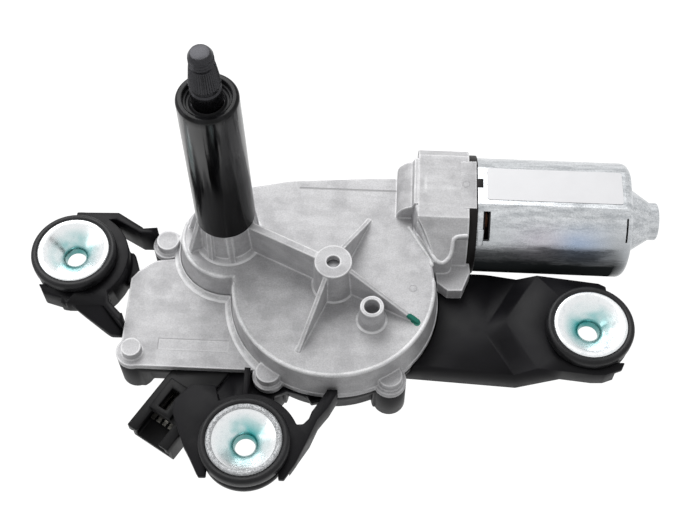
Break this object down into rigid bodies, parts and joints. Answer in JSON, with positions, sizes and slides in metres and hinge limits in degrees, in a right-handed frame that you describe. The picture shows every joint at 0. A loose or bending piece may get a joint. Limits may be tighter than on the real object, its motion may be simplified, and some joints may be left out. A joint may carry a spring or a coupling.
{
  "type": "wiper motor",
  "caption": "Rear wiper motor of a car: die-cast worm gearbox with a long spindle, flat-sided motor can and black cover whose arms carry rubber-mounted eyes",
  "frame": {"origin": "spindle axis at the underside of the rear cover", "axes": "+Z along the spindle towards the wiper arm, +X along the motor's shaft towards the can's end"},
  "size_m": [0.23, 0.1359, 0.1325],
  "materials": {
    "die_cast": "as-cast, worn bright on the edges",
    "tube_black": "black, glossy",
    "seal_rubber": "matt",
    "sintered_bronze": "sintered, oiled",
    "natural_plastic": "natural",
    "cover_plastic": "black, fine grain",
    "screw_steel": "zinc plated",
    "board": "phenolic board",
    "contact_brass": "tinned brass",
    "connector_plastic": "black, moulded",
    "grommet_rubber": "satin",
    "zinc_plated": "bright zinc plate",
    "galvanised_can": "galvanised, iridescent streaks",
    "ferrite": "sintered ferrite",
    "holder_plastic": "black",
    "carbon": "copper-carbon",
    "spring_steel": "spring steel",
    "label_white": "white film",
    "shaft_steel": "ground",
    "lamination_steel": "laminated",
    "copper_enamel": "enamelled copper",
    "copper_bars": "turned copper",
    "wheel_plastic": "natural acetal",
    "spindle_steel": "phosphated",
    "plated_sheet": "zinc plated sheet",
    "rod_steel": "sintered steel"
  },
  "bodies": {
    "gearbox": {"gear_housing": "die_cast", "shaft_tube": "tube_black", "tube_seal": "seal_rubber", "lower_spindle_bush": "sintered_bronze", "upper_spindle_bush": "sintered_bronze", "thrust_pad": "natural_plastic", "rear_cover": "cover_plastic", "left_arm": "cover_plastic", "right_arm": "cover_plastic", "bottom_arm": "cover_plastic", "cover_gasket": "seal_rubber", "cover_screws": "screw_steel", "contact_board": "board", "park_contacts": "contact_brass", "connector_housing": "connector_plastic", "connector_pins": "contact_brass", "left_grommet": "grommet_rubber", "right_grommet": "grommet_rubber", "bottom_grommet": "grommet_rubber", "left_bush": "zinc_plated", "right_bush": "zinc_plated", "bottom_bush": "zinc_plated", "worm_end_bush": "sintered_bronze", "can_end_bush": "sintered_bronze", "motor_can": "galvanised_can", "front_magnet": "ferrite", "back_magnet": "ferrite", "brush_holder": "holder_plastic", "upper_brush": "carbon", "lower_brush": "carbon", "brush_springs": "spring_steel", "label_plate": "label_white"},
    "armature": {"armature_shaft": "shaft_steel", "armature_core": "lamination_steel", "armature_windings": "copper_enamel", "commutator": "copper_bars"},
    "wheel": {"worm_wheel": "wheel_plastic", "crank_shaft": "shaft_steel", "park_disc": "contact_brass"},
    "spindle": {"spindle": "spindle_steel", "spindle_pinion": "shaft_steel", "retaining_ring": "spring_steel"},
    "link": {"link_plate": "plated_sheet", "link_pin": "shaft_steel"},
    "rod": {"sector_rod": "rod_steel"}
  },
  "joints": [
    {"name": "spindle_turn", "type": "hinge", "parent": "gearbox", "child": "spindle", "pos_m": [0, 0, 0], "axis": [0, 0, 1], "range_deg": [0, 110]},
    {"name": "link_swing", "type": "hinge", "parent": "gearbox", "child": "link", "pos_m": [0, 0, 0], "axis": [0, 0, 1], "range_deg": [0, 34.3]},
    {"name": "rod_swing", "type": "hinge", "parent": "link", "child": "rod", "pos_m": [-0.00061, -0.01999, 0], "axis": [0, 0, 1], "range_deg": [-45.42, 0]},
    {"name": "armature_spin", "type": "hinge", "parent": "gearbox", "child": "armature", "pos_m": [0.039, 0.0195, 0.0198], "axis": [1, 0, 0], "continuous": true},
    {"name": "wheel_spin", "type": "hinge", "parent": "gearbox", "child": "wheel", "pos_m": [0.039, -0.018, 0], "axis": [0, 0, 1], "continuous": true}
  ],
  "couplings": [
    {"joint": "link_swing", "follows": "spindle_turn", "ratio": 0.31182},
    {"joint": "rod_swing", "follows": "spindle_turn", "ratio": -0.41291},
    {"joint": "wheel_spin", "follows": "armature_spin", "ratio": 0.015625}
  ]
}
